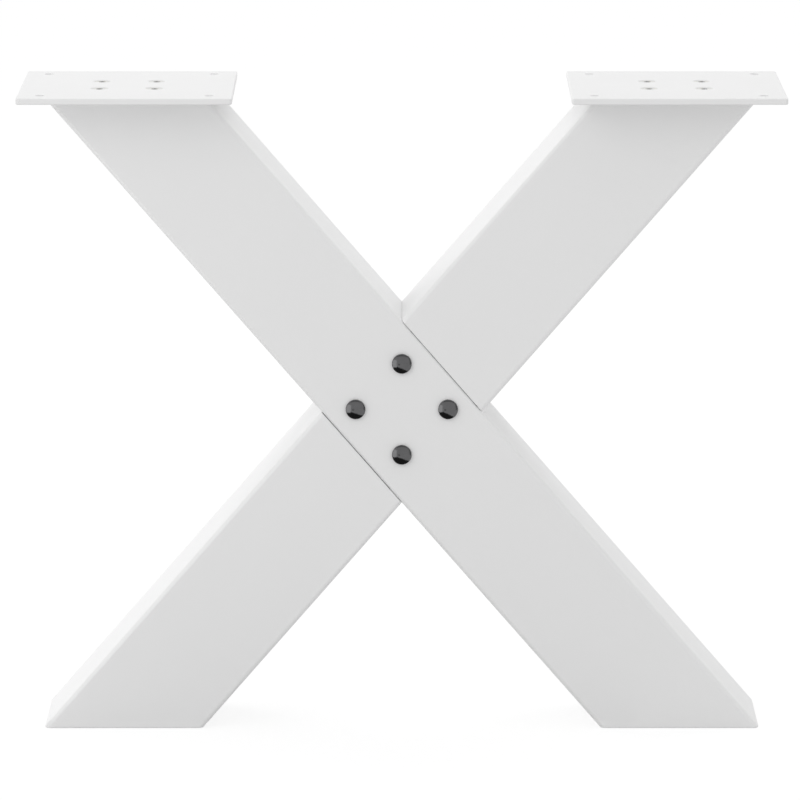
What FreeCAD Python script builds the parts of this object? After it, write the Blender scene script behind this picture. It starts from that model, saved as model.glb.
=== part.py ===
import FreeCAD, Part
import math
import os

# X shaped table leg in steel, millimetres.
# Z is up, X runs along the width and the front faces -Y.
# The origin is on the floor, under the middle of the leg.
# One long leg runs from the left top plate to the right foot. Two half legs meet its two sides
# at the crossing, where each is held by a tongue inside the long leg and two bolts.

Vector = FreeCAD.Vector
Placement = FreeCAD.Placement
Rotation = FreeCAD.Rotation

# Whole leg, with the distances between the two plates above and the two feet below
overall_height = 425.0
head_spacing = 360.0
foot_spacing = 370.0

# Square tube that all legs are cut from
tube_width = 80.0
tube_depth = 80.0
tube_wall = 1.5
tube_corner_radius = 3.0

# Top plates, screwed on from above
plate_width = 140.0
plate_depth = 140.0
plate_thickness = 4.0
plate_corner_radius = 2.0
plate_edge_bevel = 0.5

# Holes at the corners of a top plate, for the screws into a table top
table_hole_diameter = 6.0
table_hole_spacing_x = 110.0
table_hole_spacing_y = 110.0

# Steel plates welded into and onto the ends of the tubes
head_plate_thickness = 5.0
foot_plate_thickness = 3.0
joint_plate_thickness = 4.0
foot_edge_radius = 1.0
joint_edge_radius = 0.5

# M6 countersunk screws that hold a top plate to its head plate
screw_spacing_x = 36.0
screw_spacing_y = 36.0
screw_diameter = 6.0
screw_length = 12.0
screw_head_diameter = 11.3
screw_socket_flats = 4.0
screw_socket_depth = 2.3
screw_head_sink = 0.3
screw_seat_gap = 0.05
screw_hole_gap = 0.3

# M8 domed bolts at the crossing, in a square that stands on one corner
joint_bolt_side = 43.0
joint_bolt_rise = 2.0
bolt_diameter = 8.0
bolt_length = 16.0
bolt_head_diameter = 13.0
bolt_head_height = 4.0
bolt_head_rim = 1.2
bolt_shoulder_radius = 1.2
bolt_hole_gap = 0.5

# Weld nuts on the backs of the tongues
nut_flats = 13.0
nut_height = 6.5
thread_gap = 0.1

# Folded tongues that reach from the half legs into the long leg
tongue_thickness = 3.0
tongue_bend_radius = 1.5
tongue_flange = 22.0
tongue_tip_margin = 11.0
tongue_nut_gap = 1.0
tongue_slip = 0.2
window_gap = 0.5

# Values that follow from the sizes above
leg_rise = overall_height - plate_thickness
lean = math.degrees(math.atan2((head_spacing + foot_spacing) / 2, leg_rise))
crossing_height = leg_rise * foot_spacing / (head_spacing + foot_spacing)
crossing = Vector(0, 0, crossing_height)
tube_side = tube_width / 2
tube_front = -tube_depth / 2
front_wall_inside = tube_front + tube_wall
inner_corner_radius = max(tube_corner_radius - tube_wall, 0)
reach = 2 * (overall_height + head_spacing + foot_spacing)

# A point this close to a plane counts as lying in it
touching = 1e-4

# Each leg is drawn upright about the crossing and then leaned over.
# In the long leg's own frame X points out of its upper side and Z runs up along it.
long_leg_pose = Placement(crossing, Rotation(Vector(0, 1, 0), -lean))
half_leg_pose = Placement(crossing, Rotation(Vector(0, 1, 0), lean))

bolt_half_diagonal = joint_bolt_side / math.sqrt(2)
bolt_offsets = {
    "top": Vector(0, 0, bolt_half_diagonal),
    "right": Vector(bolt_half_diagonal, 0, 0),
    "bottom": Vector(0, 0, -bolt_half_diagonal),
    "left": Vector(-bolt_half_diagonal, 0, 0),
}
tongue_bolts = {"upper": ("top", "right"), "lower": ("bottom", "left")}
joint_sides = {"upper": 1, "lower": -1}
plate_centres = {"left": -head_spacing / 2, "right": head_spacing / 2}
web_front = front_wall_inside + tongue_slip
web_back = web_front + tongue_thickness


def placed(shape, pose):
    """The shape, moved from its own frame to the pose."""
    moved = shape.copy()
    moved.Placement = pose.multiply(moved.Placement)
    return moved


def block(x_range, y_range, z_range):
    """A box between two limits on each axis, given in either order."""
    low = Vector(min(x_range), min(y_range), min(z_range))
    high = Vector(max(x_range), max(y_range), max(z_range))
    size = high - low
    return Part.makeBox(size.x, size.y, size.z, low)


def edges_along(shape, direction):
    """The straight edges of a shape that run along a direction."""
    found = []
    for edge in shape.Edges:
        if abs(edge.tangentAt(edge.FirstParameter).dot(direction)) > 1 - touching:
            found.append(edge)
    return found


def edges_in_plane(shape, point, normal):
    """The edges of a shape that lie in a plane."""
    found = []
    for edge in shape.Edges:
        middle = edge.valueAt((edge.FirstParameter + edge.LastParameter) / 2)
        points = [vertex.Point for vertex in edge.Vertexes] + [middle]
        if all(abs((spot - point).dot(normal)) < touching for spot in points):
            found.append(edge)
    return found


def single_solid(shape):
    """The one solid that a cut or a common leaves, with its split faces joined."""
    solids = shape.removeSplitter().Solids
    if len(solids) != 1:
        raise ValueError("expected one solid, got %d" % len(solids))
    return solids[0]


def bar(width, depth, corner_radius):
    """A long upright bar with rounded corners, centred on the origin."""
    solid = block((-width / 2, width / 2), (-depth / 2, depth / 2), (-reach, reach))
    if corner_radius > 0:
        solid = solid.makeFillet(corner_radius, edges_along(solid, Vector(0, 0, 1)))
    return solid


def tube_outside():
    """The full section of the leg's tube."""
    return bar(tube_width, tube_depth, tube_corner_radius)


def tube_inside():
    """The hollow of the leg's tube."""
    return bar(tube_width - 2 * tube_wall, tube_depth - 2 * tube_wall, inner_corner_radius)


def level_slab(low, high):
    """Everything between two heights above the floor."""
    return block((-reach, reach), (-reach, reach), (low, high))


def beside_long_leg(side, near, far):
    """Everything between two distances from the long leg's centre, on one of its sides."""
    slab = block((side * near, side * far), (-reach, reach), (-reach, reach))
    return placed(slab, long_leg_pose)


def bolt_axis_point(name):
    """Where a joint bolt's axis meets the long leg, in the long leg's own frame."""
    world = crossing + Vector(0, 0, joint_bolt_rise) + bolt_offsets[name]
    return long_leg_pose.inverse().multVec(world)


def bolt_hole(name, diameter):
    """A round cutter along a joint bolt, in the long leg's own frame."""
    spot = bolt_axis_point(name)
    start = Vector(spot.x, tube_front - tube_wall, spot.z)
    length = web_back - tube_front + nut_height + 2 * tube_wall
    return Part.makeCylinder(diameter / 2, length, start, Vector(0, 1, 0))


def tongue_limits(half):
    """The tongue's tip, and its two ends along the long leg, in the long leg's frame."""
    spots = [bolt_axis_point(name) for name in tongue_bolts[half]]
    margin = nut_flats / 2 + tongue_nut_gap + tongue_bend_radius + tongue_thickness
    along = [spot.z for spot in spots]
    nearest = min(abs(spot.x) for spot in spots)
    return nearest - tongue_tip_margin, min(along) - margin, max(along) + margin


def tongue(half):
    """A folded channel, its web behind the front wall, open to the back and to both ends."""
    side = joint_sides[half]
    tip, low, high = tongue_limits(half)
    across = (side * tip, side * tube_side)
    bent = Vector(1, 0, 0)

    outside = block(across, (web_front, web_front + tongue_flange), (low, high))
    outer_edges = [edge for edge in edges_along(outside, bent) if edge.Vertexes[0].Y < web_back]
    outside = outside.makeFillet(tongue_bend_radius + tongue_thickness, outer_edges)

    hollow = block(
        (side * (tip - tongue_thickness), side * (tube_side + tongue_thickness)),
        (web_back, web_back + tongue_flange),
        (low + tongue_thickness, high - tongue_thickness),
    )
    inner_edges = [edge for edge in edges_along(hollow, bent) if edge.Vertexes[0].Y < web_back + touching]
    hollow = hollow.makeFillet(tongue_bend_radius, inner_edges)

    shape = outside.cut(hollow)
    for name in tongue_bolts[half]:
        shape = shape.cut(bolt_hole(name, bolt_diameter + 2 * bolt_hole_gap))
    return placed(single_solid(shape), long_leg_pose)


def tongue_window(half):
    """The cutter that lets a tongue through the side wall of the long leg."""
    side = joint_sides[half]
    low, high = tongue_limits(half)[1:]
    return block(
        (side * (tube_side - 2 * tube_wall), side * (tube_side + tube_wall)),
        (front_wall_inside, web_front + tongue_flange + window_gap),
        (low - window_gap, high + window_gap),
    )


def long_leg():
    """The long tube, with a window in each side and four holes in its front wall."""
    shape = tube_outside().cut(tube_inside())
    for half in joint_sides:
        shape = shape.cut(tongue_window(half))
    for name in bolt_offsets:
        shape = shape.cut(bolt_hole(name, bolt_diameter + 2 * bolt_hole_gap))
    shape = placed(shape, long_leg_pose)
    return single_solid(shape.common(level_slab(foot_plate_thickness, leg_rise)))


def half_leg(half):
    """One half leg, cut level at its free end and along the long leg's side at the joint."""
    shape = placed(tube_outside().cut(tube_inside()), half_leg_pose)
    shape = shape.common(level_slab(foot_plate_thickness, leg_rise))
    keep = beside_long_leg(joint_sides[half], tube_side + joint_plate_thickness, reach)
    return single_solid(shape.common(keep))


def joint_plate(half):
    """The plate that closes a half leg where it seats on the long leg, with rounded edges."""
    side = joint_sides[half]
    shape = placed(tube_outside(), half_leg_pose)
    keep = beside_long_leg(side, tube_side, tube_side + joint_plate_thickness)
    shape = single_solid(shape.common(keep))
    out = long_leg_pose.Rotation.multVec(Vector(side, 0, 0))
    seat = edges_in_plane(shape, crossing + out * tube_side, out)
    return shape.makeFillet(joint_edge_radius, seat)


def foot_plate(pose):
    """The plate that closes a foot, with its lower edges rounded."""
    shape = placed(tube_outside(), pose)
    shape = single_solid(shape.common(level_slab(0, foot_plate_thickness)))
    floor_edges = edges_in_plane(shape, Vector(0, 0, 0), Vector(0, 0, 1))
    return shape.makeFillet(foot_edge_radius, floor_edges)


def around(centre_x, spacing_x, spacing_y):
    """The four corners of a hole pattern round the middle of a top plate."""
    corners = []
    for along in (-1, 1):
        for back in (-1, 1):
            corners.append(Vector(centre_x + along * spacing_x / 2, back * spacing_y / 2, 0))
    return corners


def screw_spots(centre_x):
    """The axes of the four screws of one top plate."""
    return around(centre_x, screw_spacing_x, screw_spacing_y)


def head_plate(pose, centre_x):
    """The thick plate inside the top of a leg, tapped for the four screws."""
    shape = placed(tube_inside(), pose)
    shape = shape.common(level_slab(leg_rise - head_plate_thickness, leg_rise))
    for spot in screw_spots(centre_x):
        start = Vector(spot.x, spot.y, leg_rise - 2 * head_plate_thickness)
        tapped = Part.makeCylinder(screw_diameter / 2 + thread_gap, 3 * head_plate_thickness, start)
        shape = shape.cut(tapped)
    return single_solid(shape)


def countersunk(top, head_diameter, shank_diameter, length):
    """A round shank below a right-angled cone, whose wide end is at the given point."""
    cone_height = (head_diameter - shank_diameter) / 2
    cone_base = top - Vector(0, 0, cone_height)
    cone = Part.makeCone(shank_diameter / 2, head_diameter / 2, cone_height, cone_base)
    shank = Part.makeCylinder(shank_diameter / 2, length - cone_height, top - Vector(0, 0, length))
    return cone.fuse(shank)


def top_plate(centre_x):
    """One top plate with its corner holes and the countersunk holes of its screws."""
    half_x = plate_width / 2
    half_y = plate_depth / 2
    x_range = (centre_x - half_x, centre_x + half_x)
    shape = block(x_range, (-half_y, half_y), (leg_rise, overall_height))
    shape = shape.makeFillet(plate_corner_radius, edges_along(shape, Vector(0, 0, 1)))
    rims = []
    for height in (leg_rise, overall_height):
        rims += edges_in_plane(shape, Vector(0, 0, height), Vector(0, 0, 1))
    shape = shape.makeChamfer(plate_edge_bevel, rims)

    for spot in around(centre_x, table_hole_spacing_x, table_hole_spacing_y):
        start = Vector(spot.x, spot.y, leg_rise - plate_thickness)
        shape = shape.cut(Part.makeCylinder(table_hole_diameter / 2, 3 * plate_thickness, start))

    wide = screw_head_diameter + 2 * (screw_head_sink + screw_seat_gap)
    for spot in screw_spots(centre_x):
        top = Vector(spot.x, spot.y, overall_height)
        shape = shape.cut(countersunk(top, wide, screw_diameter + 2 * screw_hole_gap, 2 * screw_length))
    return single_solid(shape)


def hexagon(flats, height, base):
    """An upright hexagonal prism, with two of its flats facing along X."""
    corner = flats / math.sqrt(3)
    points = []
    for step in range(7):
        angle = math.radians(30 + 60 * step)
        points.append(base + Vector(corner * math.cos(angle), corner * math.sin(angle), 0))
    return Part.Face(Part.makePolygon(points)).extrude(Vector(0, 0, height))


def plate_screw(spot):
    """One countersunk screw with a hexagon socket."""
    top = Vector(spot.x, spot.y, overall_height - screw_head_sink)
    shape = countersunk(top, screw_head_diameter, screw_diameter, screw_length)
    socket_base = top - Vector(0, 0, screw_socket_depth)
    shape = shape.cut(hexagon(screw_socket_flats, 2 * screw_socket_depth, socket_base))
    return single_solid(shape)


def facing_back(name, front):
    """The pose whose Z axis runs backwards along a joint bolt, from a given depth."""
    spot = bolt_axis_point(name)
    turn = Rotation(Vector(1, 0, 0), -90)
    return long_leg_pose.multiply(Placement(Vector(spot.x, front, spot.z), turn))


def on_arc(centre, radius, angle):
    """A point of an arc in a turned outline, its angle measured from the axis towards the front."""
    return centre + Vector(math.sin(angle), 0, -math.cos(angle)) * radius


def joint_bolt(name):
    """One domed bolt, its head seated on the front wall of the long leg."""
    head_radius = bolt_head_diameter / 2
    shank_radius = bolt_diameter / 2
    sideways = math.pi / 2

    # The dome's arc runs smoothly into that of the shoulder, which ends square to the wall.
    above_rim = bolt_head_height - bolt_head_rim
    shoulder_centre = Vector(head_radius - bolt_shoulder_radius, 0, -bolt_head_rim)
    span = shoulder_centre.x ** 2 + above_rim ** 2 - bolt_shoulder_radius ** 2
    dome_radius = span / (2 * (above_rim - bolt_shoulder_radius))
    dome_centre = Vector(0, 0, dome_radius - bolt_head_height)
    dome_angle = math.asin(shoulder_centre.x / (dome_radius - bolt_shoulder_radius))

    apex = on_arc(dome_centre, dome_radius, 0)
    dome_middle = on_arc(dome_centre, dome_radius, dome_angle / 2)
    dome_end = on_arc(dome_centre, dome_radius, dome_angle)
    shoulder_middle = on_arc(shoulder_centre, bolt_shoulder_radius, (dome_angle + sideways) / 2)
    rim_front = on_arc(shoulder_centre, bolt_shoulder_radius, sideways)
    rim_back = Vector(head_radius, 0, 0)
    neck = Vector(shank_radius, 0, 0)
    end_rim = Vector(shank_radius, 0, bolt_length)
    end = Vector(0, 0, bolt_length)

    outline = [
        Part.Arc(apex, dome_middle, dome_end).toShape(),
        Part.Arc(dome_end, shoulder_middle, rim_front).toShape(),
        Part.makeLine(rim_front, rim_back),
        Part.makeLine(rim_back, neck),
        Part.makeLine(neck, end_rim),
        Part.makeLine(end_rim, end),
        Part.makeLine(end, apex),
    ]
    shape = Part.Face(Part.Wire(outline)).revolve(Vector(0, 0, 0), Vector(0, 0, 1), 360)
    return placed(single_solid(shape), facing_back(name, tube_front))


def weld_nut(name):
    """One hexagonal nut, seated on the back of its tongue."""
    shape = hexagon(nut_flats, nut_height, Vector(0, 0, 0))
    bore = Part.makeCylinder(bolt_diameter / 2 + thread_gap, 3 * nut_height, Vector(0, 0, -nut_height))
    return placed(single_solid(shape.cut(bore)), facing_back(name, web_back))


def all_parts():
    """Every piece of the leg by name."""
    parts = {"full_leg": long_leg()}
    for half in joint_sides:
        parts[half + "_half_leg"] = half_leg(half)
        parts[half + "_joint_plate"] = joint_plate(half)
        parts[half + "_tongue"] = tongue(half)

    top_poses = {"left": long_leg_pose, "right": half_leg_pose}
    foot_poses = {"left": half_leg_pose, "right": long_leg_pose}
    for side, centre_x in plate_centres.items():
        parts[side + "_top_plate"] = top_plate(centre_x)
        parts[side + "_head_plate"] = head_plate(top_poses[side], centre_x)
        parts[side + "_foot_plate"] = foot_plate(foot_poses[side])
        for number, spot in enumerate(screw_spots(centre_x), 1):
            parts["%s_plate_screw_%d" % (side, number)] = plate_screw(spot)

    for name in bolt_offsets:
        parts["joint_bolt_" + name] = joint_bolt(name)
        parts["weld_nut_" + name] = weld_nut(name)
    return parts


os.makedirs("parts", exist_ok=True)
for node, solid in all_parts().items():
    solid.exportStep("parts/%s.step" % node)
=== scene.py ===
import math

import bpy
from bpy.props import FloatProperty, FloatVectorProperty, IntProperty, PointerProperty
from mathutils import Euler, Matrix, Vector


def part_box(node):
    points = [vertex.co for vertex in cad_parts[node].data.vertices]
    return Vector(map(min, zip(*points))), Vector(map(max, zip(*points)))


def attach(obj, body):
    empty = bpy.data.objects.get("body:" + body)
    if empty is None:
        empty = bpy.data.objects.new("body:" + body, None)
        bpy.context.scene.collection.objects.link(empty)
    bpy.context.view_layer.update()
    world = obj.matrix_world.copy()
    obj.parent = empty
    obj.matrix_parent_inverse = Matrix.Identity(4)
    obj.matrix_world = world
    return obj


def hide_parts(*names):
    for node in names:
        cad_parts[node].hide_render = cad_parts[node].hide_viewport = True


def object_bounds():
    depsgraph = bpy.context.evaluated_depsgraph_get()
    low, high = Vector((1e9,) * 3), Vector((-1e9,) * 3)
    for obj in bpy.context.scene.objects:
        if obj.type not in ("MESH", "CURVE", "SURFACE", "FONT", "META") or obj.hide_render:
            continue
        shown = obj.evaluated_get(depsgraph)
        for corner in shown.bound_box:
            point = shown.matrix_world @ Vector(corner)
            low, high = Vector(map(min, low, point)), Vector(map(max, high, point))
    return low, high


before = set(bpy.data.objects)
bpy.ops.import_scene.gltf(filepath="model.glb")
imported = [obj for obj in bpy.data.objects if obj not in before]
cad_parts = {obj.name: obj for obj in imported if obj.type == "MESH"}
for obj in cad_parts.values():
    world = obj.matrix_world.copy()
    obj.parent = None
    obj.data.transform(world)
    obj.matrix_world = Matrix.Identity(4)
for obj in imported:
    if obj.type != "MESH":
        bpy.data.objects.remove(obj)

CAD_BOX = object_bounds()

# The finish of an X shaped table leg: white powder coated tubes and plates, glossy black joint
# bolts, zinc plated plate screws and weld nuts, and bare steel inside the tubes.
# Everything is in metres, in the frame of the solids: Z up, X along the width, front facing -Y.

bl_info = {
    "name": "X Shaped Table Leg",
    "version": (1, 0, 0),
    "blender": (4, 5, 0),
    "location": "3D View > Sidebar > Table Leg",
    "description": "Gives the pieces of an X shaped steel table leg their real finish "
                   "and sets up a studio",
    "category": "Object",
}

MM = 0.001
MICRON = MM / 1000
BODY = "root"

TUBES = ("full_leg", "upper_half_leg", "lower_half_leg")
COATED_PLATES = (
    "left_top_plate", "right_top_plate", "left_foot_plate", "right_foot_plate",
    "upper_joint_plate", "lower_joint_plate",
)
INNER_STEEL = ("left_head_plate", "right_head_plate", "upper_tongue", "lower_tongue")
CORNERS = ("top", "right", "bottom", "left")
JOINT_BOLTS = tuple("joint_bolt_" + corner for corner in CORNERS)
WELD_NUTS = tuple("weld_nut_" + corner for corner in CORNERS)
PLATE_SCREWS = tuple(
    "%s_plate_screw_%d" % (side, n) for side in ("left", "right") for n in (1, 2, 3, 4))

# The values between which nearly all of Blender's noise lies.
NOISE_LOW, NOISE_HIGH = 0.3, 0.7


def srgb(text):
    """A hex colour as three linear values."""
    channels = [int(text[place:place + 2], 16) / 255 for place in (1, 3, 5)]
    return tuple(c / 12.92 if c <= 0.04045 else ((c + 0.055) / 1.055) ** 2.4 for c in channels)


def middle(node):
    """The centre of a node's box."""
    low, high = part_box(node)
    return (low + high) / 2


def width(node, axis):
    """The size of a node's box along an axis."""
    low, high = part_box(node)
    return high[axis] - low[axis]


class CoatSettings(bpy.types.PropertyGroup):
    """The powder coat on the tubes and plates."""

    colour: FloatVectorProperty(
        name="Colour", description="Colour of the powder coat", subtype="COLOR", size=3,
        min=0, max=1, default=srgb("#EEEEEE"))
    roughness: FloatProperty(
        name="Roughness", description="How matt the coat is", subtype="FACTOR",
        min=0, max=1, default=0.48)
    peel_size: FloatProperty(
        name="Orange peel size", description="Width of one soft wave in the coat",
        subtype="DISTANCE", unit="LENGTH", default=1.8 * MM)
    peel_height: FloatProperty(
        name="Orange peel height", description="Height of the soft waves",
        subtype="DISTANCE", unit="LENGTH", default=6 * MICRON)
    grain_size: FloatProperty(
        name="Grain size", description="Width of one baked powder grain",
        subtype="DISTANCE", unit="LENGTH", default=0.35 * MM)
    grain_height: FloatProperty(
        name="Grain height", description="Height of the baked grains",
        subtype="DISTANCE", unit="LENGTH", default=1.2 * MICRON)


class SteelSettings(bpy.types.PropertyGroup):
    """The rolled steel of the pieces inside the tubes."""

    colour: FloatVectorProperty(
        name="Colour", description="Colour of the bare steel", subtype="COLOR", size=3,
        min=0, max=1, default=srgb("#8E9092"))
    scale_colour: FloatVectorProperty(
        name="Mill scale", description="Colour of the dark patches of mill scale", subtype="COLOR",
        size=3, min=0, max=1, default=srgb("#55575A"))
    roughness: FloatProperty(
        name="Roughness", description="How dull the oiled steel is", subtype="FACTOR",
        min=0, max=1, default=0.42)
    patch_size: FloatProperty(
        name="Patch size", description="Width of the patches of mill scale",
        subtype="DISTANCE", unit="LENGTH", default=9 * MM)
    roll_spacing: FloatProperty(
        name="Roll mark spacing", description="Distance between the fine lines left by the rolls",
        subtype="DISTANCE", unit="LENGTH", default=0.6 * MM)


class JointBoltSettings(bpy.types.PropertyGroup):
    """The four M8 domed bolts at the crossing."""

    colour: FloatVectorProperty(
        name="Colour", description="Colour of the black nickel plating", subtype="COLOR", size=3,
        min=0, max=1, default=srgb("#606061"))
    roughness: FloatProperty(
        name="Roughness", description="How dull the plating is", subtype="FACTOR",
        min=0, max=1, default=0.13)
    head_height: FloatProperty(
        name="Head height", description="Height of the domed head",
        subtype="DISTANCE", unit="LENGTH", default=4.0 * MM)
    rim_height: FloatProperty(
        name="Rim height", description="Height of the straight rim below the dome",
        subtype="DISTANCE", unit="LENGTH", default=1.2 * MM)
    shoulder_radius: FloatProperty(
        name="Shoulder radius", description="Rounding between the dome and the rim",
        subtype="DISTANCE", unit="LENGTH", default=1.2 * MM)
    shank_diameter: FloatProperty(
        name="Shank diameter", description="Diameter of the threaded shank",
        subtype="DISTANCE", unit="LENGTH", default=8.0 * MM)
    pitch: FloatProperty(
        name="Thread pitch", description="Distance between two turns of the thread",
        subtype="DISTANCE", unit="LENGTH", default=1.25 * MM)
    segments: IntProperty(
        name="Segments", description="Facets round a bolt", min=12, max=192, default=72)


class PlateScrewSettings(bpy.types.PropertyGroup):
    """The eight M6 countersunk screws of the top plates."""

    colour: FloatVectorProperty(
        name="Colour", description="Colour of the zinc plating", subtype="COLOR", size=3,
        min=0, max=1, default=srgb("#D9DBDD"))
    roughness: FloatProperty(
        name="Roughness", description="How dull the zinc plating is", subtype="FACTOR",
        min=0, max=1, default=0.28)
    shank_diameter: FloatProperty(
        name="Shank diameter", description="Diameter of the threaded shank",
        subtype="DISTANCE", unit="LENGTH", default=6.0 * MM)
    socket_flats: FloatProperty(
        name="Socket width", description="Width of the hexagon socket across its flats",
        subtype="DISTANCE", unit="LENGTH", default=4.0 * MM)
    socket_depth: FloatProperty(
        name="Socket depth", description="Depth of the hexagon socket",
        subtype="DISTANCE", unit="LENGTH", default=2.3 * MM)
    pitch: FloatProperty(
        name="Thread pitch", description="Distance between two turns of the thread",
        subtype="DISTANCE", unit="LENGTH", default=1.0 * MM)
    segments: IntProperty(
        name="Segments", description="Facets round a screw", min=12, max=192, default=48)


class WeldNutSettings(bpy.types.PropertyGroup):
    """The four M8 hexagonal nuts behind the crossing."""

    flats: FloatProperty(
        name="Width across flats", description="Width of the nut across its flats",
        subtype="DISTANCE", unit="LENGTH", default=13.0 * MM)
    bore_diameter: FloatProperty(
        name="Bore diameter", description="Diameter of the threaded bore",
        subtype="DISTANCE", unit="LENGTH", default=8.2 * MM)
    lean: FloatProperty(
        name="Lean", description="Turn of the flats, square to the long leg", subtype="ANGLE",
        unit="ROTATION", default=math.radians(40.93))
    pitch: FloatProperty(
        name="Thread pitch", description="Distance between two turns of the thread",
        subtype="DISTANCE", unit="LENGTH", default=1.25 * MM)
    segments: IntProperty(
        name="Segments", description="Facets round a nut", min=12, max=192, default=72)


class StudioSettings(bpy.types.PropertyGroup):
    """The floor, the soft lights and the camera."""

    sky: FloatProperty(
        name="Sky", description="Strength of the even light from all round", min=0, default=0.83)
    back_light: FloatProperty(
        name="Back light", min=0, default=2.19,
        description="Radiance of the low soft light behind the leg, at the left")
    front_light: FloatProperty(
        name="Front light", min=0, default=1.23,
        description="Radiance of the soft light in front, at the left")
    high_light: FloatProperty(
        name="High light", min=0, default=1.61,
        description="Radiance of the soft light high up behind the leg")
    mirrored_light: FloatProperty(
        name="Mirrored light", description="How bright the bolts see the soft box at the left",
        min=0, default=1.8)
    mirrored_grey: FloatProperty(
        name="Mirrored grey", description="How bright the bolts see the grey cards",
        subtype="FACTOR", min=0, max=1, default=0.5)
    floor_colour: FloatVectorProperty(
        name="Floor", description="Colour of the floor", subtype="COLOR", size=3,
        min=0, max=1, default=srgb("#E2E2E2"))
    shadow_share: FloatProperty(
        name="Shadow share", description="How much of the floor's white comes from the lights, "
        "so that the leg's shadow shows", subtype="FACTOR", min=0, max=1, default=0.2)
    focal_length: FloatProperty(
        name="Focal length", description="Lens, in millimetres on a 36 mm frame",
        subtype="DISTANCE_CAMERA", min=1, default=277.1)
    distance: FloatProperty(
        name="Distance", description="From the camera to the point that it looks at",
        subtype="DISTANCE", unit="LENGTH", default=4.088)
    elevation: FloatProperty(
        name="Elevation", description="How far the camera looks down", subtype="ANGLE",
        unit="ROTATION", default=math.radians(10.39))
    aim: FloatVectorProperty(
        name="Aim", description="The point that the camera looks at", subtype="XYZ",
        unit="LENGTH", size=3, default=(-1.2 * MM, 0, 214.2 * MM))


class TableLegSettings(bpy.types.PropertyGroup):
    """All settings of the table leg."""

    coat: PointerProperty(type=CoatSettings)
    steel: PointerProperty(type=SteelSettings)
    joint_bolts: PointerProperty(type=JointBoltSettings)
    plate_screws: PointerProperty(type=PlateScrewSettings)
    weld_nuts: PointerProperty(type=WeldNutSettings)
    studio: PointerProperty(type=StudioSettings)


def add_node(tree, kind, inputs=None, **settings):
    """Adds a node. An input takes a value, a socket, or a node for its first output."""
    node = tree.nodes.new(kind)
    for name, value in settings.items():
        setattr(node, name, value)
    for key, value in (inputs or {}).items():
        if isinstance(value, bpy.types.Node):
            value = value.outputs[0]
        if isinstance(value, bpy.types.NodeSocket):
            tree.links.new(value, node.inputs[key])
        else:
            node.inputs[key].default_value = value
    return node


def new_material(name):
    """An empty node material and its tree."""
    material = bpy.data.materials.new(name)
    material.use_nodes = True
    material.node_tree.nodes.clear()
    return material, material.node_tree


def clouds(tree, size, low=0.0, high=1.0, detail=2.0):
    """Soft clouds on the surface, about as wide as the size, that run between two values."""
    place = add_node(tree, "ShaderNodeTexCoord").outputs["Object"]
    noise = add_node(tree, "ShaderNodeTexNoise", {
        "Vector": place, "Scale": 1 / size, "Detail": detail})
    return add_node(tree, "ShaderNodeMapRange", {
        "Value": noise, "From Min": NOISE_LOW, "From Max": NOISE_HIGH,
        "To Min": low, "To Max": high})


def relief(tree, size, height, over=None):
    """Soft hills on the surface, about as wide as the size, over another relief."""
    place = add_node(tree, "ShaderNodeTexCoord").outputs["Object"]
    noise = add_node(tree, "ShaderNodeTexNoise", {"Vector": place, "Scale": 1 / size})
    bump = {"Height": noise, "Strength": 1.0, "Distance": height}
    if over:
        bump["Normal"] = over
    return add_node(tree, "ShaderNodeBump", bump)


def powder_coat():
    """Polyester powder coat, sprayed and baked on steel."""
    # It gives the eye an even satin white from a step away, and faint orange peel close up.
    coat = bpy.context.scene.table_leg.coat
    film_patch, thin_film = 60 * MM, 0.993
    sheen_patch, sheen_swing = 14 * MM, 0.03
    material, tree = new_material("White powder coat on steel")

    # The film is a little thinner here and there, which takes less than a percent off its white.
    film = clouds(tree, film_patch, thin_film, 1.0)
    colour = add_node(tree, "ShaderNodeVectorMath", {
        0: coat.colour[:], 1: film}, operation="MULTIPLY")
    sheen = clouds(tree, sheen_patch, coat.roughness - sheen_swing, coat.roughness + sheen_swing)
    peel = relief(tree, coat.peel_size, coat.peel_height)
    grain = relief(tree, coat.grain_size, coat.grain_height, over=peel)
    shader = add_node(tree, "ShaderNodeBsdfPrincipled", {
        "Base Color": colour, "Roughness": sheen, "IOR": 1.5, "Normal": grain})
    add_node(tree, "ShaderNodeOutputMaterial", {"Surface": shader})
    return material


def rolled_steel():
    """Cold rolled steel sheet, lightly oiled, with thin mill scale."""
    # It gives the eye a grey metal with darker clouds and fine lines along the sheet.
    steel = bpy.context.scene.table_leg.steel
    smooth, dull = steel.roughness - 0.08, steel.roughness + 0.1
    patch_detail, line_detail = 4.0, 3.0
    line_stretch, line_depth = 40, 4 * MICRON
    material, tree = new_material("Rolled steel, oiled")
    patches = clouds(tree, steel.patch_size, detail=patch_detail)
    darker = Vector(steel.scale_colour) - Vector(steel.colour)
    colour = add_node(tree, "ShaderNodeVectorMath", {
        0: patches, 1: darker, 2: steel.colour[:]}, operation="MULTIPLY_ADD")
    oil = clouds(tree, steel.patch_size, smooth, dull, patch_detail)

    # The rolls leave lines along the sheet, so the pattern is drawn out along Y.
    place = add_node(tree, "ShaderNodeTexCoord").outputs["Object"]
    along = add_node(tree, "ShaderNodeMapping", {
        "Vector": place, "Scale": (1, 1 / line_stretch, 1)})
    lines = add_node(tree, "ShaderNodeTexNoise", {
        "Vector": along, "Scale": 1 / steel.roll_spacing, "Detail": line_detail})
    bump = add_node(tree, "ShaderNodeBump", {
        "Height": lines, "Strength": 1.0, "Distance": line_depth})
    shader = add_node(tree, "ShaderNodeBsdfPrincipled", {
        "Base Color": colour, "Metallic": 1.0, "Roughness": oil, "Normal": bump})
    add_node(tree, "ShaderNodeOutputMaterial", {"Surface": shader})
    return material


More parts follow.
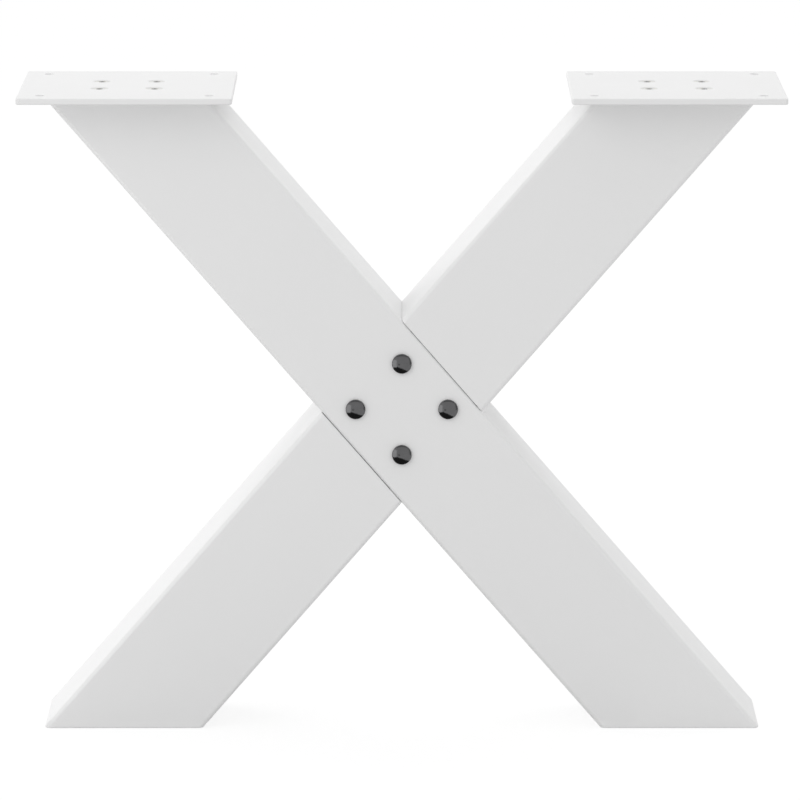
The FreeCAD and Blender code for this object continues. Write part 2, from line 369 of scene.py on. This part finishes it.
def black_nickel():
    """Black nickel plating on a turned and polished steel bolt."""
    # It gives the eye a dark mirror, with a faint haze that breaks up what it mirrors.
    bolts = bpy.context.scene.table_leg.joint_bolts
    film_patch, thin_film, thick_film, film_detail = 3 * MM, 0.95, 1.04, 4.0
    haze_patch, haze_detail = 0.8 * MM, 3.0
    clear, hazy = bolts.roughness - 0.03, bolts.roughness + 0.05
    wave_width, wave_height = 0.5 * MM, 0.5 * MICRON
    material, tree = new_material("Black nickel plated steel")
    film = clouds(tree, film_patch, thin_film, thick_film, film_detail)
    colour = add_node(tree, "ShaderNodeVectorMath", {
        0: bolts.colour[:], 1: film}, operation="MULTIPLY")
    haze = clouds(tree, haze_patch, clear, hazy, haze_detail)
    shader = add_node(tree, "ShaderNodeBsdfPrincipled", {
        "Base Color": colour, "Metallic": 1.0, "Roughness": haze,
        "Normal": relief(tree, wave_width, wave_height)})
    add_node(tree, "ShaderNodeOutputMaterial", {"Surface": shader})
    return material


def bright_zinc():
    """Bright zinc plating, blue passivated, on small steel fasteners."""
    # It gives the eye a pale silver with faint clouds of straw, and the sockets are painted dark
    # as shade.
    screws = bpy.context.scene.table_leg.plate_screws
    # The second colour, named oil, is painted shade for the sockets.
    straw, oil = srgb("#DCD9D0"), srgb("#3C3D3E")
    socket_shade_start, socket_shade_full = 0.05 * MM, 0.4 * MM
    straw_patch, haze_patch, detail = 2.5 * MM, 0.7 * MM, 3.0
    clear, hazy = screws.roughness - 0.06, screws.roughness + 0.08
    wave_width, wave_height = 0.4 * MM, 1.5 * MICRON
    material, tree = new_material("Bright zinc plated steel")
    patches = clouds(tree, straw_patch, detail=detail)
    zinc = add_node(tree, "ShaderNodeVectorMath", {
        0: patches, 1: Vector(straw) - Vector(screws.colour), 2: screws.colour[:]},
        operation="MULTIPLY_ADD")

    # The sockets are the part of the screws that lies just below the tops of the plates. Painted
    # shade darkens them, from a hair below the top to full dark a little deeper.
    place = add_node(tree, "ShaderNodeTexCoord").outputs["Object"]
    height = add_node(tree, "ShaderNodeSeparateXYZ", {"Vector": place}).outputs["Z"]
    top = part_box(PLATE_SCREWS[0])[1].z
    sunk = add_node(tree, "ShaderNodeMapRange", {
        "Value": height, "From Min": top - socket_shade_start, "From Max": top - socket_shade_full})
    screw = add_node(tree, "ShaderNodeMath", {
        0: height, 1: top - screws.socket_depth * 2}, operation="GREATER_THAN")
    # How much painted shade each point of a screw's socket gets.
    oiled = add_node(tree, "ShaderNodeMath", {0: sunk, 1: screw}, operation="MULTIPLY")

    # Inputs 6 and 7 of the mix are its two colours, and output 2 is what it makes of them.
    # The mix lays the painted socket shade over the zinc.
    colour = add_node(tree, "ShaderNodeMix", {
        "Factor": oiled, 6: zinc, 7: (*oil, 1)}, data_type="RGBA")

    haze = clouds(tree, haze_patch, clear, hazy, detail)
    shader = add_node(tree, "ShaderNodeBsdfPrincipled", {
        "Base Color": colour.outputs[2], "Metallic": 1.0, "Roughness": haze,
        "Normal": relief(tree, wave_width, wave_height)})
    add_node(tree, "ShaderNodeOutputMaterial", {"Surface": shader})
    return material


def dress(nodes, material):
    """Gives a material to solids that keep their own shape."""
    for name in nodes:
        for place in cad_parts[name].material_slots:
            place.material = material


# Turned pieces. An outline is half of a section, as points of radius and depth. Depth runs from
# the piece's seat along its shank. Geometry Nodes sweep the outline round the axis, press flats
# and threads into it and set one copy at each place.

SWEEP_RADIUS = 1 * MM
SHARP_BEND = math.radians(32)
HALF_FLAT = math.radians(30)

# A thread's rings and depth go by its pitch. Its groove starts a little way off the crest and
# reaches its root half a turn on.
RINGS_PER_TURN = 8
THREAD_DEPTH_SHARE = 0.6
THREAD_CREST, THREAD_ROOT = 0.07, 0.5

# How many lengths each curve of an outline has.
DOME_STEPS = 18
SHOULDER_STEPS = 10
NUT_CHAMFER_STEPS = 5

TREE_INPUTS = (
    ("Places", "NodeSocketGeometry"),
    ("Outline", "NodeSocketObject"),
    ("Segments", "NodeSocketInt"),
    ("Flat Distance", "NodeSocketFloat"),
    ("Flats Radius", "NodeSocketFloat"),
    ("Flats Reach", "NodeSocketFloat"),
    ("Thread Pitch", "NodeSocketFloat"),
    ("Thread Depth", "NodeSocketFloat"),
    ("Thread Radius", "NodeSocketFloat"),
    ("Thread Middle", "NodeSocketFloat"),
    ("Thread Reach", "NodeSocketFloat"),
    ("Turn", "NodeSocketVector"),
    ("Finish", "NodeSocketMaterial"),
)


def turned_place(tree):
    """Where each point of a turned mesh is: its position, radius, angle and depth."""
    place = add_node(tree, "GeometryNodeInputPosition")
    flat = add_node(tree, "ShaderNodeVectorMath", {0: place, 1: (1, 1, 0)}, operation="MULTIPLY")
    radius = add_node(tree, "ShaderNodeVectorMath", {0: flat}, operation="LENGTH").outputs["Value"]
    x, y, depth = add_node(tree, "ShaderNodeSeparateXYZ", {"Vector": place}).outputs
    angle = add_node(tree, "ShaderNodeMath", {0: y, 1: x}, operation="ARCTAN2")
    return place, radius, angle, depth


def pressed_flats(tree, mesh, given):
    """Presses six flats into a turned mesh: no point in reach stays outside the hexagon."""
    place, radius, angle, _ = turned_place(tree)
    wedge = add_node(tree, "ShaderNodeMath", {
        0: angle, 1: HALF_FLAT, 2: -HALF_FLAT}, operation="WRAP")
    lean = add_node(tree, "ShaderNodeMath", {0: wedge}, operation="COSINE")
    hexagon = add_node(tree, "ShaderNodeMath", {
        0: given["Flat Distance"], 1: lean}, operation="DIVIDE")
    wanted = add_node(tree, "ShaderNodeMath", {0: radius, 1: hexagon}, operation="MINIMUM")
    chosen = add_node(tree, "ShaderNodeMath", {
        0: radius, 1: given["Flats Radius"], 2: given["Flats Reach"]}, operation="COMPARE")
    return with_radius(tree, mesh, chosen, place, radius, wanted)


def cut_thread(tree, mesh, given):
    """Cuts a thread into a turned mesh: a groove that climbs one pitch each turn."""
    place, radius, angle, depth = turned_place(tree)
    climb = add_node(tree, "ShaderNodeMath", {
        0: depth, 1: given["Thread Pitch"]}, operation="DIVIDE")
    turns = add_node(tree, "ShaderNodeMath", {
        0: angle, 1: -1 / math.tau, 2: climb}, operation="MULTIPLY_ADD")
    wave = add_node(tree, "ShaderNodeMath", {0: turns, 1: THREAD_ROOT}, operation="PINGPONG")
    groove = add_node(tree, "ShaderNodeMapRange", {
        "Value": wave, "From Min": THREAD_CREST, "From Max": THREAD_ROOT,
        "To Max": given["Thread Depth"]})
    wanted = add_node(tree, "ShaderNodeMath", {0: radius, 1: groove}, operation="SUBTRACT")

    on_thread = add_node(tree, "ShaderNodeMath", {
        0: radius, 1: given["Thread Radius"], 2: MICRON}, operation="COMPARE")
    in_reach = add_node(tree, "ShaderNodeMath", {
        0: depth, 1: given["Thread Middle"], 2: given["Thread Reach"]}, operation="COMPARE")
    chosen = add_node(tree, "ShaderNodeMath", {0: on_thread, 1: in_reach}, operation="MULTIPLY")
    return with_radius(tree, mesh, chosen, place, radius, wanted)


def with_radius(tree, mesh, chosen, place, radius, wanted):
    """Moves the chosen points of a turned mesh to another distance from its axis."""
    share = add_node(tree, "ShaderNodeMath", {0: wanted, 1: radius}, operation="DIVIDE")
    scale = add_node(tree, "ShaderNodeCombineXYZ", {"X": share, "Y": share, "Z": 1.0})
    moved = add_node(tree, "ShaderNodeVectorMath", {0: place, 1: scale}, operation="MULTIPLY")
    return add_node(tree, "GeometryNodeSetPosition", {
        "Geometry": mesh, "Selection": chosen, "Position": moved})


def turned_piece_tree():
    """The node tree that turns a piece from its outline and sets it at each place."""
    tree = bpy.data.node_groups.new("Turned pieces", "GeometryNodeTree")
    for name, kind in TREE_INPUTS:
        tree.interface.new_socket(name, in_out="INPUT", socket_type=kind)
    tree.interface.new_socket("Pieces", in_out="OUTPUT", socket_type="NodeSocketGeometry")
    given = add_node(tree, "NodeGroupInput").outputs

    circle = add_node(tree, "GeometryNodeCurvePrimitiveCircle", {
        "Resolution": given["Segments"], "Radius": SWEEP_RADIUS})
    outline = add_node(tree, "GeometryNodeObjectInfo", {"Object": given["Outline"]})
    swept = add_node(tree, "GeometryNodeCurveToMesh", {
        "Curve": circle, "Profile Curve": outline.outputs["Geometry"]})
    closed = add_node(tree, "GeometryNodeMergeByDistance", {"Geometry": swept, "Distance": MICRON})
    outward = add_node(tree, "GeometryNodeFlipFaces", {"Mesh": closed})
    shaped = cut_thread(tree, pressed_flats(tree, outward, given), given)

    # Faces are smooth, apart from the edges where they bend sharply.
    smooth = add_node(tree, "GeometryNodeSetShadeSmooth", {
        "Geometry": shaped, "Shade Smooth": True})
    bend = add_node(tree, "GeometryNodeInputMeshEdgeAngle").outputs["Unsigned Angle"]
    sharp = add_node(tree, "ShaderNodeMath", {0: bend, 1: SHARP_BEND}, operation="GREATER_THAN")
    crisp = add_node(tree, "GeometryNodeSetShadeSmooth", {
        "Geometry": smooth, "Selection": sharp, "Shade Smooth": False}, domain="EDGE")

    turn = add_node(tree, "FunctionNodeEulerToRotation", {"Euler": given["Turn"]})
    copies = add_node(tree, "GeometryNodeInstanceOnPoints", {
        "Points": given["Places"], "Instance": crisp, "Rotation": turn})
    solid = add_node(tree, "GeometryNodeRealizeInstances", {"Geometry": copies})
    finished = add_node(tree, "GeometryNodeSetMaterial", {
        "Geometry": solid, "Material": given["Finish"]})
    add_node(tree, "NodeGroupOutput", {"Pieces": finished})
    return tree


def outline_curve(points, cyclic=False):
    """A curve object through the points of an outline, shifted for the sweep."""
    curve = bpy.data.curves.new("outline", "CURVE")
    curve.dimensions = "3D"
    spline = curve.splines.new("POLY")
    spline.points.add(len(points) - 1)
    for knot, (radius, depth) in zip(spline.points, points):
        knot.co = (radius - SWEEP_RADIUS, -depth, 0, 1)
    spline.use_cyclic_u = cyclic
    holder = bpy.data.objects.new("outline", curve)
    bpy.context.scene.collection.objects.link(holder)
    return holder


def turned_pieces(name, nodes, places, points, finish, slot, cyclic=False, **inputs):
    """Makes like turned pieces as one plain mesh that stands for the given nodes."""
    tree = bpy.data.node_groups.get("Turned pieces") or turned_piece_tree()
    outline = outline_curve(points, cyclic)
    mesh = bpy.data.meshes.new(name)
    mesh.from_pydata([tuple(place) for place in places], [], [])
    pieces = bpy.data.objects.new(name, mesh)
    bpy.context.scene.collection.objects.link(pieces)

    modifier = pieces.modifiers.new("Turned pieces", "NODES")
    modifier.node_group = tree
    sockets = {
        item.name: item.identifier for item in tree.interface.items_tree if item.in_out == "INPUT"}
    values = {"Outline": outline, "Finish": finish}
    values.update({key.replace("_", " ").title(): value for key, value in inputs.items()})
    for key, value in values.items():
        modifier[sockets[key]] = value

    view = bpy.context.evaluated_depsgraph_get()
    plain = bpy.data.meshes.new_from_object(pieces.evaluated_get(view), depsgraph=view)
    pieces.modifiers.clear()
    plain.materials.clear()
    plain.materials.append(finish)
    pieces.data = plain
    plain.name = name
    bpy.data.objects.remove(outline)
    bpy.data.meshes.remove(mesh)

    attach(pieces, BODY)
    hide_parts(*nodes)


def rounded(points, corner, radius, steps=3):
    """The points of an outline with one corner rounded off."""
    before, at, after = (Vector(points[corner + shift]) for shift in (-1, 0, 1))
    start = at + (before - at).normalized() * radius
    end = at + (after - at).normalized() * radius
    curve = []
    for step in range(steps + 1):
        t = step / steps
        curve.append(tuple(start * (1 - t) ** 2 + at * 2 * t * (1 - t) + end * t ** 2))
    return points[:corner] + curve + points[corner + 1:]


def arc(centre, radius, start, end, steps):
    """Points of an arc in an outline, its angles measured from the axis towards the front."""
    angles = [start + (end - start) * step / steps for step in range(steps + 1)]
    return [(centre[0] + radius * math.sin(a), centre[1] - radius * math.cos(a)) for a in angles]


def shank(radius, start, end, pitch):
    """The outline of a threaded shank or bore, with enough rings to carry its thread."""
    count = math.ceil(abs(end - start) / pitch * RINGS_PER_TURN)
    return [(radius, start + (end - start) * step / count) for step in range(count + 1)]


def bolt_outline(bolts, head_radius, length):
    """Half the section of a domed bolt, from its apex to the end of its shank."""
    # The dome's arc runs smoothly into that of the shoulder, which ends square to the wall.
    above_rim = bolts.head_height - bolts.rim_height
    inset = head_radius - bolts.shoulder_radius
    span = inset ** 2 + above_rim ** 2 - bolts.shoulder_radius ** 2
    dome_radius = span / (2 * (above_rim - bolts.shoulder_radius))
    dome_angle = math.asin(inset / (dome_radius - bolts.shoulder_radius))
    points = arc((0, dome_radius - bolts.head_height), dome_radius, 0, dome_angle, DOME_STEPS)
    shoulder = arc(
        (inset, -bolts.rim_height), bolts.shoulder_radius, dome_angle, math.pi / 2, SHOULDER_STEPS)
    points += shoulder[1:]

    radius = bolts.shank_diameter / 2
    lead = bolts.pitch / 2
    rim_round = 0.1 * MM
    points += [(head_radius, 0.0), (radius, 0.0)]
    points = rounded(points, len(points) - 2, rim_round)
    points += shank(radius, lead, length - lead, bolts.pitch)
    return points + [(radius - lead, length), (0.0, length)]


def screw_outline(screws, head_radius, length):
    """Half the section of a countersunk screw, from the bottom of its socket to its end."""
    radius = screws.shank_diameter / 2
    corner = screws.socket_flats / math.sqrt(3)
    chamfer = 0.25 * MM
    land = 0.15 * MM
    drill_tip = 0.5 * MM
    cone = head_radius - radius
    lead = screws.pitch / 2
    points = [
        (0.0, screws.socket_depth + drill_tip),
        (screws.socket_flats / 2, screws.socket_depth),
        (corner, screws.socket_depth),
        (corner, chamfer),
        (corner + chamfer, 0.0),
        (head_radius - land, 0.0),
        (head_radius - land / 2, land / 2),
        (radius, cone),
    ]
    points += shank(radius, cone + lead, length - lead, screws.pitch)
    return points + [(radius - lead, length), (0.0, length)]


def nut_outline(nuts, height):
    """The section of a hexagonal nut on one side of its bore, chamfered at both ends."""
    bore = nuts.bore_diameter / 2
    lead = nuts.pitch / 2
    corner = nuts.flats / math.sqrt(3)
    crown_share = 0.96
    crown = nuts.flats / 2 * crown_share
    slope = math.tan(math.radians(30))
    front = []
    for step in range(NUT_CHAMFER_STEPS + 1):
        radius = crown + (corner - crown) * step / NUT_CHAMFER_STEPS
        front.append((radius, (radius - crown) * slope))
    back = [(radius, height - depth) for radius, depth in reversed(front)]
    return [(bore + lead, 0.0)] + front + back + [(bore + lead, height)] + shank(
        bore, height - lead, lead, nuts.pitch)


class TABLELEG_OT_tubes(bpy.types.Operator):
    """Gives the three tubes of the leg their powder coat"""

    bl_idname = "table_leg.tubes"
    bl_label = "Coat Tubes"

    def execute(self, context):
        dress(TUBES, powder_coat())
        return {"FINISHED"}


class TABLELEG_OT_plates(bpy.types.Operator):
    """Gives the top, foot and joint plates the same powder coat as the tubes"""

    bl_idname = "table_leg.plates"
    bl_label = "Coat Plates"

    def execute(self, context):
        coat = bpy.data.materials.get("White powder coat on steel") or powder_coat()
        dress(COATED_PLATES, coat)
        return {"FINISHED"}


class TABLELEG_OT_inner_steel(bpy.types.Operator):
    """Gives the head plates and tongues inside the tubes their bare steel"""

    bl_idname = "table_leg.inner_steel"
    bl_label = "Bare Steel Inside"

    def execute(self, context):
        dress(INNER_STEEL, rolled_steel())
        return {"FINISHED"}


class TABLELEG_OT_joint_bolts(bpy.types.Operator):
    """Makes the four domed bolts at the crossing"""

    bl_idname = "table_leg.joint_bolts"
    bl_label = "Joint Bolts"

    def execute(self, context):
        bolts = context.scene.table_leg.joint_bolts
        first = JOINT_BOLTS[0]
        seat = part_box(first)[0].y + bolts.head_height
        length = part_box(first)[1].y - seat
        places = [(middle(node).x, seat, middle(node).z) for node in JOINT_BOLTS]
        turned_pieces(
            "joint_bolts", JOINT_BOLTS, places, bolt_outline(bolts, width(first, 0) / 2, length),
            black_nickel(), "black_bolt", segments=bolts.segments, turn=(-math.pi / 2, 0, 0),
            thread_pitch=bolts.pitch, thread_depth=bolts.pitch * THREAD_DEPTH_SHARE,
            thread_radius=bolts.shank_diameter / 2, thread_middle=(bolts.pitch + length) / 2,
            thread_reach=(length - bolts.pitch) / 2)
        return {"FINISHED"}


class TABLELEG_OT_plate_screws(bpy.types.Operator):
    """Makes the eight countersunk screws of the top plates"""

    bl_idname = "table_leg.plate_screws"
    bl_label = "Plate Screws"

    def execute(self, context):
        screws = context.scene.table_leg.plate_screws
        first = PLATE_SCREWS[0]
        head_radius = width(first, 0) / 2
        length = width(first, 2)
        socket_reach = screws.socket_flats / math.sqrt(3) + 10 * MICRON
        start = head_radius - screws.shank_diameter / 2 + screws.pitch
        places = [(middle(node).x, middle(node).y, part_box(node)[1].z) for node in PLATE_SCREWS]
        turned_pieces(
            "plate_screws", PLATE_SCREWS, places, screw_outline(screws, head_radius, length),
            bright_zinc(), "zinc_steel", segments=screws.segments, turn=(math.pi, 0, 0),
            flat_distance=screws.socket_flats / 2, flats_radius=0.0, flats_reach=socket_reach,
            thread_pitch=screws.pitch, thread_depth=screws.pitch * THREAD_DEPTH_SHARE,
            thread_radius=screws.shank_diameter / 2, thread_middle=(start + length) / 2,
            thread_reach=(length - start) / 2)
        return {"FINISHED"}


class TABLELEG_OT_weld_nuts(bpy.types.Operator):
    """Makes the four hexagonal nuts on the backs of the tongues"""

    bl_idname = "table_leg.weld_nuts"
    bl_label = "Weld Nuts"

    def execute(self, context):
        nuts = context.scene.table_leg.weld_nuts
        first = WELD_NUTS[0]
        places = [(middle(node).x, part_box(node)[0].y, middle(node).z) for node in WELD_NUTS]
        across = Vector((math.cos(nuts.lean), 0, math.sin(nuts.lean)))
        back = Vector((0, 1, 0))
        turn = Matrix((across, back.cross(across), back)).transposed().to_euler()
        height = width(first, 1)

        # The corners of a hexagon lie less than a tenth of its width outside its flats.
        corner_reach = nuts.flats / 10
        turned_pieces(
            "weld_nuts", WELD_NUTS, places, nut_outline(nuts, height),
            bpy.data.materials.get("Bright zinc plated steel") or bright_zinc(), "zinc_steel",
            cyclic=True, segments=nuts.segments, turn=tuple(turn),
            flat_distance=nuts.flats / 2, flats_radius=nuts.flats / 2, flats_reach=corner_reach,
            thread_pitch=nuts.pitch, thread_depth=-nuts.pitch * THREAD_DEPTH_SHARE / 2,
            thread_radius=nuts.bore_diameter / 2, thread_middle=height / 2,
            thread_reach=height / 2)
        return {"FINISHED"}


# The studio's own sizes, in metres. The camera's frame is in millimetres.
FLOOR_REACH = 8.0
FLOOR_GAP = 0.2 * MM
NEAR_FLOOR = 0.5 * MM
LIGHT_DISTANCE = 2.4
LIGHT_SIZE = 1.2
CAMERA_REACH = 100
CAMERA_FRAME = 36

# How bright the floor glows for the undersides of the feet, as a share of the sky: painted bounce
# light.
BOUNCE_GLOW_SHARE = 0.8

SQUARE = ((-1, -1), (1, -1), (1, 1), (-1, 1))


def direction(azimuth, elevation):
    """A direction by its angle from the front towards the right, and its height, in degrees."""
    around, up = math.radians(azimuth), math.radians(elevation)
    level = math.cos(up)
    return Vector((math.sin(around) * level, -math.cos(around) * level, math.sin(up)))


def background_ray(tree):
    """One for rays that show the background: from the camera, off metal and through glass."""
    path = add_node(tree, "ShaderNodeLightPath").outputs
    mirrored = add_node(tree, "ShaderNodeMath", {
        0: path["Is Glossy Ray"], 1: path["Is Transmission Ray"]}, operation="MAXIMUM")
    return add_node(tree, "ShaderNodeMath", {
        0: path["Is Camera Ray"], 1: mirrored}, operation="MAXIMUM")


def white_world(studio):
    """Even light from all round, behind a background that shows as white."""
    world = bpy.data.worlds.new("Studio")
    world.use_nodes = True
    tree = world.node_tree
    tree.nodes.clear()
    light = add_node(tree, "ShaderNodeBackground", {"Color": (1, 1, 1, 1), "Strength": studio.sky})
    white = add_node(tree, "ShaderNodeBackground", {"Color": (1, 1, 1, 1), "Strength": 1.0})
    mix = add_node(tree, "ShaderNodeMixShader", {0: background_ray(tree), 1: light, 2: white})
    add_node(tree, "ShaderNodeOutputWorld", {"Surface": mix})
    bpy.context.scene.world = world


def floor_material(studio):
    """Matt white studio floor that keeps a soft shadow and can be looked through from below."""
    material, tree = new_material("Matt white studio floor")
    share = studio.shadow_share

    # The undersides of the feet almost touch the floor. For rays from them the floor glows with
    # painted bounce light, so they are lit as if they stood clear of it.
    length = add_node(tree, "ShaderNodeLightPath").outputs["Ray Length"]
    near = add_node(tree, "ShaderNodeMath", {0: length, 1: NEAR_FLOOR}, operation="LESS_THAN")
    matt = add_node(tree, "ShaderNodeBsdfDiffuse", {"Color": (*studio.floor_colour, 1)})
    bounce_glow = add_node(tree, "ShaderNodeEmission", {
        "Color": (*studio.floor_colour, 1), "Strength": studio.sky * BOUNCE_GLOW_SHARE})
    lit = add_node(tree, "ShaderNodeMixShader", {0: near, 1: matt, 2: bounce_glow})

    shaded = add_node(tree, "ShaderNodeBsdfDiffuse", {"Color": (share, share, share, 1)})
    glow = add_node(tree, "ShaderNodeEmission", {
        "Color": (1, 1, 1, 1), "Strength": 1 - share * studio.sky})
    white = add_node(tree, "ShaderNodeAddShader", {0: shaded, 1: glow})
    mix = add_node(tree, "ShaderNodeMixShader", {0: background_ray(tree), 1: lit, 2: white})
    clear = add_node(tree, "ShaderNodeBsdfTransparent")
    below = add_node(tree, "ShaderNodeNewGeometry").outputs["Backfacing"]
    one_sided = add_node(tree, "ShaderNodeMixShader", {0: below, 1: mix, 2: clear})
    add_node(tree, "ShaderNodeOutputMaterial", {"Surface": one_sided})
    return material


def card(name, corners, material):
    """A flat stage piece through its corners."""
    mesh = bpy.data.meshes.new(name)
    mesh.from_pydata(corners, [], [tuple(range(len(corners)))])
    mesh.materials.append(material)
    sheet = bpy.data.objects.new(name, mesh)
    bpy.context.scene.collection.objects.link(sheet)
    return sheet


def mirrored_card(name, corners, strength):
    """A card beside the set, black or glowing, that only glossy surfaces reflect."""
    material, tree = new_material(name)
    glow = add_node(tree, "ShaderNodeEmission", {"Color": (1, 1, 1, 1), "Strength": strength})
    add_node(tree, "ShaderNodeOutputMaterial", {"Surface": glow})
    sheet = card(name, corners, material)
    sheet.visible_camera = False
    sheet.visible_diffuse = False
    sheet.visible_transmission = False
    sheet.visible_shadow = False


def mirrored_cards(studio):
    """What the domed bolts mirror besides the white background."""
    bolts = sum((middle(node) for node in JOINT_BOLTS), Vector()) / len(JOINT_BOLTS)
    dark, dim, grey = 0.07, 0.25, studio.mirrored_grey

    # A dark card in front, just above the floor. The unit of its corners is the bolts' height
    # above it.
    above_floor = 5 * MM
    drop = bolts.z - above_floor
    edge = ((-1.95, 0.0), (-1.87, -1.24), (-1.63, -2.24), (0.15, -1.4), (0.74, -0.51), (0.74, 0.0))
    mirrored_card("dark card", [bolts + Vector((x, y, -1)) * drop for x, y in edge], dark)

    # A tall soft box close by at the left.
    box_distance = 0.45
    sides = [direction(-37, 0), direction(-85, 0)]
    low, high = Vector((0, 0, -0.44)), Vector((0, 0, 0.38))
    corners = [sides[0] + low, sides[1] + low, sides[1] + high, sides[0] + high]
    corners = [bolts + corner * box_distance for corner in corners]
    mirrored_card("soft box", corners, studio.mirrored_light)

    # A small dark stand in front, a little to the left.
    ahead, aside = direction(-18.7, -8.9), direction(71.3, 0) * 0.1
    rise = Vector((0, 0, 0.08))
    corners = [bolts + (ahead + aside * x + rise * y) for x, y in SQUARE]
    mirrored_card("dark stand", corners, dim)

    # Grey cards at the right and overhead, which darken the shoulders of the bolts.
    edge = ((-0.65, -0.2), (0.3, -0.2), (0.3, 1.0), (-0.65, 1.0))
    mirrored_card("grey card at the right", [bolts + Vector((1, y, z)) for y, z in edge], grey)
    edge = ((-0.8, -0.84), (1.0, -0.84), (1.0, 0.3), (-0.8, 0.3))
    mirrored_card("grey card overhead", [bolts + Vector((x, y, 1)) for x, y in edge], grey)


def soft_light(name, place, target, size, radiance):
    """A square area light whose face looks as bright as the given radiance."""
    lamp = bpy.data.lights.new(name, "AREA")
    lamp.shape = "SQUARE"
    lamp.size = size
    lamp.energy = radiance * math.pi * size ** 2
    holder = bpy.data.objects.new(name, lamp)
    bpy.context.scene.collection.objects.link(holder)
    holder.location = place
    holder.rotation_euler = (Vector(target) - Vector(place)).to_track_quat("-Z", "Y").to_euler()
    holder.visible_camera = False
    holder.visible_glossy = False


def photo_camera(studio):
    """The camera at the photograph's angle."""
    camera = bpy.data.cameras.new("Camera")
    camera.lens = studio.focal_length
    camera.sensor_width = CAMERA_FRAME
    camera.clip_end = CAMERA_REACH
    holder = bpy.data.objects.new("Camera", camera)
    bpy.context.scene.collection.objects.link(holder)
    back = Vector((0, -math.cos(studio.elevation), math.sin(studio.elevation)))
    holder.location = Vector(studio.aim) + back * studio.distance
    holder.rotation_euler = Euler((math.pi / 2 - studio.elevation, 0, 0))
    bpy.context.scene.camera = holder


class TABLELEG_OT_studio(bpy.types.Operator):
    """Sets up the floor, the soft lights, the white background and the camera"""

    bl_idname = "table_leg.studio"
    bl_label = "Studio"

    def execute(self, context):
        studio = context.scene.table_leg.studio
        context.scene.view_settings.view_transform = "Standard"
        white_world(studio)
        corners = [(x * FLOOR_REACH, y * FLOOR_REACH, -FLOOR_GAP) for x, y in SQUARE]
        card("floor", corners, floor_material(studio))

        centre = (CAD_BOX[0] + CAD_BOX[1]) / 2
        for name, azimuth, elevation, radiance in (
                ("Back light", -135, 12, studio.back_light),
                ("Front light", -45, 35, studio.front_light),
                ("High light", 180, 60, studio.high_light)):
            place = centre + direction(azimuth, elevation) * LIGHT_DISTANCE
            soft_light(name, place, centre, LIGHT_SIZE, radiance)

        mirrored_cards(studio)
        photo_camera(studio)
        return {"FINISHED"}


class TABLELEG_PT_sidebar(bpy.types.Panel):
    """Lists the pieces and the studio of the table leg"""

    bl_idname = "TABLELEG_PT_sidebar"
    bl_label = "X Shaped Table Leg"
    bl_space_type = "VIEW_3D"
    bl_region_type = "UI"
    bl_category = "Table Leg"

    def draw(self, context):
        settings = context.scene.table_leg
        for operators, group in PANEL_ROWS:
            box = self.layout.box()
            for operator in operators:
                box.operator(operator.bl_idname)
            values = getattr(settings, group)
            for name in values.bl_rna.properties.keys():
                if name not in ("rna_type", "name"):
                    box.prop(values, name)


PANEL_ROWS = (
    ((TABLELEG_OT_tubes, TABLELEG_OT_plates), "coat"),
    ((TABLELEG_OT_inner_steel,), "steel"),
    ((TABLELEG_OT_joint_bolts,), "joint_bolts"),
    ((TABLELEG_OT_plate_screws,), "plate_screws"),
    ((TABLELEG_OT_weld_nuts,), "weld_nuts"),
    ((TABLELEG_OT_studio,), "studio"),
)

SETTINGS_CLASSES = (
    CoatSettings, SteelSettings, JointBoltSettings, PlateScrewSettings, WeldNutSettings,
    StudioSettings, TableLegSettings,
)
OPERATOR_CLASSES = tuple(operator for operators, _ in PANEL_ROWS for operator in operators)
CLASSES = SETTINGS_CLASSES + OPERATOR_CLASSES + (TABLELEG_PT_sidebar,)


def register():
    """Adds the settings, the operators and the panel."""
    for cls in CLASSES:
        bpy.utils.register_class(cls)
    bpy.types.Scene.table_leg = PointerProperty(type=TableLegSettings)


def unregister():
    """Removes them again."""
    del bpy.types.Scene.table_leg
    for cls in reversed(CLASSES):
        bpy.utils.unregister_class(cls)


def main():
    """Builds the finished leg and its studio."""
    register()
    bpy.ops.table_leg.tubes()
    bpy.ops.table_leg.plates()
    bpy.ops.table_leg.inner_steel()
    bpy.ops.table_leg.joint_bolts()
    bpy.ops.table_leg.plate_screws()
    bpy.ops.table_leg.weld_nuts()
    bpy.ops.table_leg.studio()


if __name__ == "__main__":
    main()
